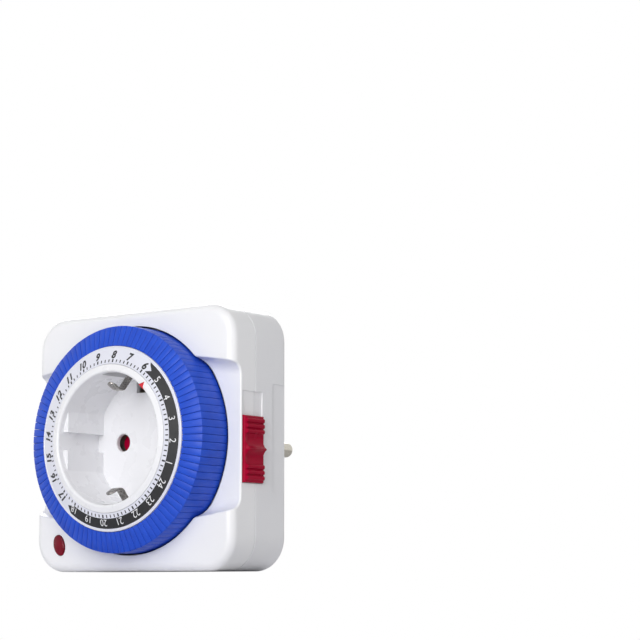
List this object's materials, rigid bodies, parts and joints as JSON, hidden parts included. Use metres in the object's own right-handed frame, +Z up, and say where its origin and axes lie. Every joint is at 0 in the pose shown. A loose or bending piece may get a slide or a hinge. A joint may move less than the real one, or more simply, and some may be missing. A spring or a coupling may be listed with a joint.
{
  "type": "plug-in timer switch",
  "caption": "Square plug-in timer switch: a round socket in the middle of a turning hour dial with push-in segments, a side slide switch and a lamp.",
  "frame": {"origin": "middle of the plug's seating face, between the two pins", "axes": "+Z up, +Y the way the plug pins point, +X towards the side with the slide switch; the dial faces -Y"},
  "size_m": [0.0798, 0.0758, 0.0776],
  "materials": {
    "white_plastic": "moulded gloss",
    "blue_plastic": "moulded satin",
    "red_plastic": "moulded gloss",
    "red_lens": "clear red, polished",
    "printed_scale": "printed, numbers and ticks",
    "natural_plastic": "uncoloured nylon",
    "nickel_pin": "nickel plated brass",
    "nickel_strip": "nickel plated strip",
    "zinc_steel": "zinc plated",
    "spring_steel": "bright drawn",
    "brass": "stamped",
    "lamp_glass": "clear glass",
    "resistor_body": "lacquered"
  },
  "bodies": {
    "housing": {"front_housing": "white_plastic", "rear_housing": "white_plastic", "housing_screws": "zinc_steel", "socket_well": "white_plastic", "time_pointer": "red_plastic", "shutter_spring": "spring_steel", "socket_contact_live": "brass", "socket_contact_neutral": "brass", "contact_carrier": "natural_plastic", "earth_strap_upper": "nickel_strip", "earth_strap_lower": "nickel_strip", "plug_pin_live": "nickel_pin", "plug_pin_neutral": "nickel_pin", "neutral_bar": "brass", "fixed_blade": "brass", "lever_pivot": "zinc_steel", "detent_spring": "spring_steel", "drive_axle": "zinc_steel", "synchronous_motor": "zinc_steel", "mechanism_plate": "natural_plastic", "plate_screws": "zinc_steel", "lamp_lens": "red_lens", "neon_lamp": "lamp_glass", "lamp_resistor": "resistor_body"},
    "dial": {"dial_carrier": "natural_plastic", "hour_scale": "printed_scale"},
    "drive_pinion": {"drive_pinion": "natural_plastic"},
    "clutch_gear": {"clutch_gear": "natural_plastic"},
    "motor_pinion": {"motor_pinion": "brass"},
    "safety_shutter": {"safety_shutter": "red_plastic"},
    "override_slider": {"override_slider": "red_plastic"},
    "switch_lever": {"switch_lever": "natural_plastic"},
    "moving_blade": {"moving_blade": "brass"},
    "tappets_hour_01": {"tappets_hour_01": "blue_plastic"},
    "tappets_hour_02": {"tappets_hour_02": "blue_plastic"},
    "tappets_hour_03": {"tappets_hour_03": "blue_plastic"},
    "tappets_hour_04": {"tappets_hour_04": "blue_plastic"},
    "tappets_hour_05": {"tappets_hour_05": "blue_plastic"},
    "tappets_hour_06": {"tappets_hour_06": "blue_plastic"},
    "tappets_hour_07": {"tappets_hour_07": "blue_plastic"},
    "tappets_hour_08": {"tappets_hour_08": "blue_plastic"},
    "tappets_hour_09": {"tappets_hour_09": "blue_plastic"},
    "tappets_hour_10": {"tappets_hour_10": "blue_plastic"},
    "tappets_hour_11": {"tappets_hour_11": "blue_plastic"},
    "tappets_hour_12": {"tappets_hour_12": "blue_plastic"},
    "tappets_hour_13": {"tappets_hour_13": "blue_plastic"},
    "tappets_hour_14": {"tappets_hour_14": "blue_plastic"},
    "tappets_hour_15": {"tappets_hour_15": "blue_plastic"},
    "tappets_hour_16": {"tappets_hour_16": "blue_plastic"},
    "tappets_hour_17": {"tappets_hour_17": "blue_plastic"},
    "tappets_hour_18": {"tappets_hour_18": "blue_plastic"},
    "tappets_hour_19": {"tappets_hour_19": "blue_plastic"},
    "tappets_hour_20": {"tappets_hour_20": "blue_plastic"},
    "tappets_hour_21": {"tappets_hour_21": "blue_plastic"},
    "tappets_hour_22": {"tappets_hour_22": "blue_plastic"},
    "tappets_hour_23": {"tappets_hour_23": "blue_plastic"},
    "tappets_hour_24": {"tappets_hour_24": "blue_plastic"}
  },
  "joints": [
    {"name": "dial_turn", "type": "hinge", "parent": "housing", "child": "dial", "pos_m": [0, -0.0433, 0], "axis": [0, 1, 0], "continuous": true},
    {"name": "clutch_turn", "type": "hinge", "parent": "housing", "child": "clutch_gear", "pos_m": [0.01703, -0.0348, -0.0203], "axis": [0, 1, 0], "continuous": true},
    {"name": "drive_pinion_turn", "type": "hinge", "parent": "housing", "child": "drive_pinion", "pos_m": [0.01703, -0.04, -0.0203], "axis": [0, 1, 0], "continuous": true},
    {"name": "motor_pinion_turn", "type": "hinge", "parent": "housing", "child": "motor_pinion", "pos_m": [0.0269, -0.0348, -0.02389], "axis": [0, 1, 0], "continuous": true},
    {"name": "override_slide", "type": "slide", "parent": "housing", "child": "override_slider", "axis": [0, 0, 1], "range_m": [0, 0.007]},
    {"name": "lever_rock", "type": "hinge", "parent": "housing", "child": "switch_lever", "pos_m": [0.0203, -0.0293, 0.005], "axis": [-1, 0, 0], "range_deg": [0, 5], "stiffness_Nm_per_rad": 0.002},
    {"name": "blade_flex", "type": "hinge", "parent": "housing", "child": "moving_blade", "pos_m": [0.0134, -0.0269, 0.0125], "axis": [0, 0, 1], "range_deg": [0, 6.2]},
    {"name": "shutter_turn", "type": "hinge", "parent": "housing", "child": "safety_shutter", "pos_m": [0, -0.03562, 0], "axis": [0, -1, 0], "range_deg": [0, 48], "stiffness_Nm_per_rad": 0.0008},
    {"name": "tappet_press_01", "type": "slide", "parent": "dial", "child": "tappets_hour_01", "axis": [0, 1, 0], "range_m": [0, 0.004]},
    {"name": "tappet_press_02", "type": "slide", "parent": "dial", "child": "tappets_hour_02", "axis": [0, 1, 0], "range_m": [0, 0.004]},
    {"name": "tappet_press_03", "type": "slide", "parent": "dial", "child": "tappets_hour_03", "axis": [0, 1, 0], "range_m": [0, 0.004]},
    {"name": "tappet_press_04", "type": "slide", "parent": "dial", "child": "tappets_hour_04", "axis": [0, 1, 0], "range_m": [0, 0.004]},
    {"name": "tappet_press_05", "type": "slide", "parent": "dial", "child": "tappets_hour_05", "axis": [0, 1, 0], "range_m": [0, 0.004]},
    {"name": "tappet_press_06", "type": "slide", "parent": "dial", "child": "tappets_hour_06", "axis": [0, 1, 0], "range_m": [0, 0.004]},
    {"name": "tappet_press_07", "type": "slide", "parent": "dial", "child": "tappets_hour_07", "axis": [0, 1, 0], "range_m": [0, 0.004]},
    {"name": "tappet_press_08", "type": "slide", "parent": "dial", "child": "tappets_hour_08", "axis": [0, 1, 0], "range_m": [0, 0.004]},
    {"name": "tappet_press_09", "type": "slide", "parent": "dial", "child": "tappets_hour_09", "axis": [0, 1, 0], "range_m": [0, 0.004]},
    {"name": "tappet_press_10", "type": "slide", "parent": "dial", "child": "tappets_hour_10", "axis": [0, 1, 0], "range_m": [0, 0.004]},
    {"name": "tappet_press_11", "type": "slide", "parent": "dial", "child": "tappets_hour_11", "axis": [0, 1, 0], "range_m": [0, 0.004]},
    {"name": "tappet_press_12", "type": "slide", "parent": "dial", "child": "tappets_hour_12", "axis": [0, 1, 0], "range_m": [0, 0.004]},
    {"name": "tappet_press_13", "type": "slide", "parent": "dial", "child": "tappets_hour_13", "axis": [0, 1, 0], "range_m": [0, 0.004]},
    {"name": "tappet_press_14", "type": "slide", "parent": "dial", "child": "tappets_hour_14", "axis": [0, 1, 0], "range_m": [0, 0.004]},
    {"name": "tappet_press_15", "type": "slide", "parent": "dial", "child": "tappets_hour_15", "axis": [0, 1, 0], "range_m": [0, 0.004]},
    {"name": "tappet_press_16", "type": "slide", "parent": "dial", "child": "tappets_hour_16", "axis": [0, 1, 0], "range_m": [0, 0.004]},
    {"name": "tappet_press_17", "type": "slide", "parent": "dial", "child": "tappets_hour_17", "axis": [0, 1, 0], "range_m": [0, 0.004]},
    {"name": "tappet_press_18", "type": "slide", "parent": "dial", "child": "tappets_hour_18", "axis": [0, 1, 0], "range_m": [0, 0.004]},
    {"name": "tappet_press_19", "type": "slide", "parent": "dial", "child": "tappets_hour_19", "axis": [0, 1, 0], "range_m": [0, 0.004]},
    {"name": "tappet_press_20", "type": "slide", "parent": "dial", "child": "tappets_hour_20", "axis": [0, 1, 0], "range_m": [0, 0.004]},
    {"name": "tappet_press_21", "type": "slide", "parent": "dial", "child": "tappets_hour_21", "axis": [0, 1, 0], "range_m": [0, 0.004]},
    {"name": "tappet_press_22", "type": "slide", "parent": "dial", "child": "tappets_hour_22", "axis": [0, 1, 0], "range_m": [0, 0.004]},
    {"name": "tappet_press_23", "type": "slide", "parent": "dial", "child": "tappets_hour_23", "axis": [0, 1, 0], "range_m": [0, 0.004]},
    {"name": "tappet_press_24", "type": "slide", "parent": "dial", "child": "tappets_hour_24", "axis": [0, 1, 0], "range_m": [0, 0.004]}
  ],
  "couplings": [
    {"joint": "drive_pinion_turn", "follows": "dial_turn", "ratio": -9.6},
    {"joint": "motor_pinion_turn", "follows": "clutch_turn", "ratio": -3.2},
    {"joint": "blade_flex", "follows": "lever_rock", "ratio": 1.2}
  ]
}
